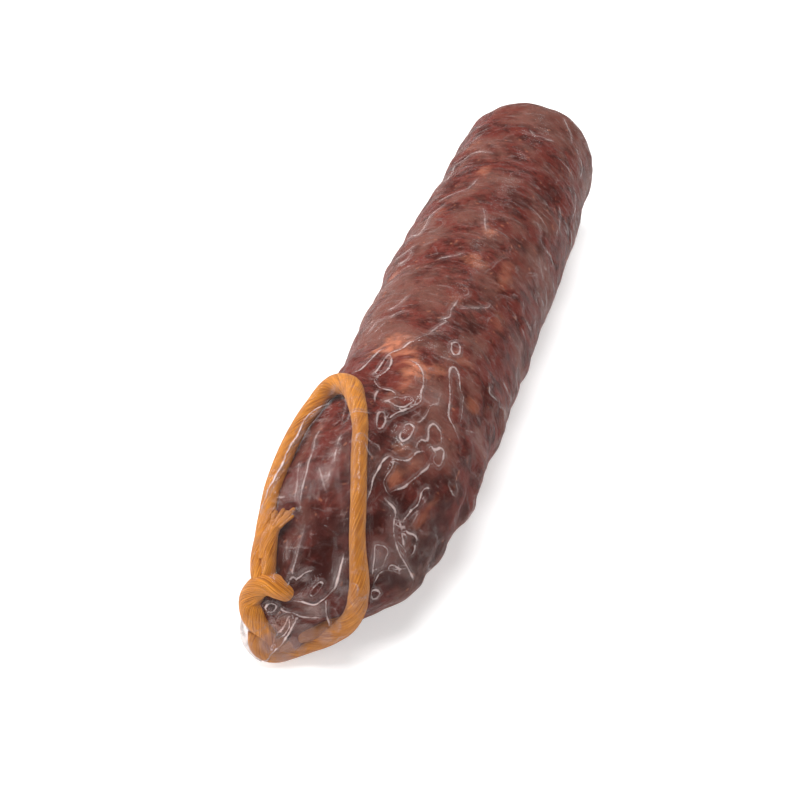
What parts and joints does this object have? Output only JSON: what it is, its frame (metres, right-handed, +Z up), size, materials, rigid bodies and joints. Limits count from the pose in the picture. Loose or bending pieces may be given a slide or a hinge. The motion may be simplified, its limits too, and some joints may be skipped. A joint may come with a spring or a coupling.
{
  "type": "cured sausage",
  "caption": "Half stick of cured sausage, sealed in tight clear film, with a tied tail and a hanging loop of twine laid back over it.",
  "frame": {"origin": "on the flat underside the sausage rests on, below its axis, at half the length of the stick", "axes": "+Y along the stick from the tied tail to the blunt far end, +Z up, +X to the right seen from the tail"},
  "size_m": [0.0538, 0.2317, 0.0534],
  "materials": {
    "casing": "mottled red-brown cured casing under film",
    "twine": "orange twisted twine",
    "film": "clear wrinkled film with glossy creases"
  },
  "bodies": {
    "root": {"sausage_in_film": "casing", "twine": "twine"}
  },
  "joints": []
}
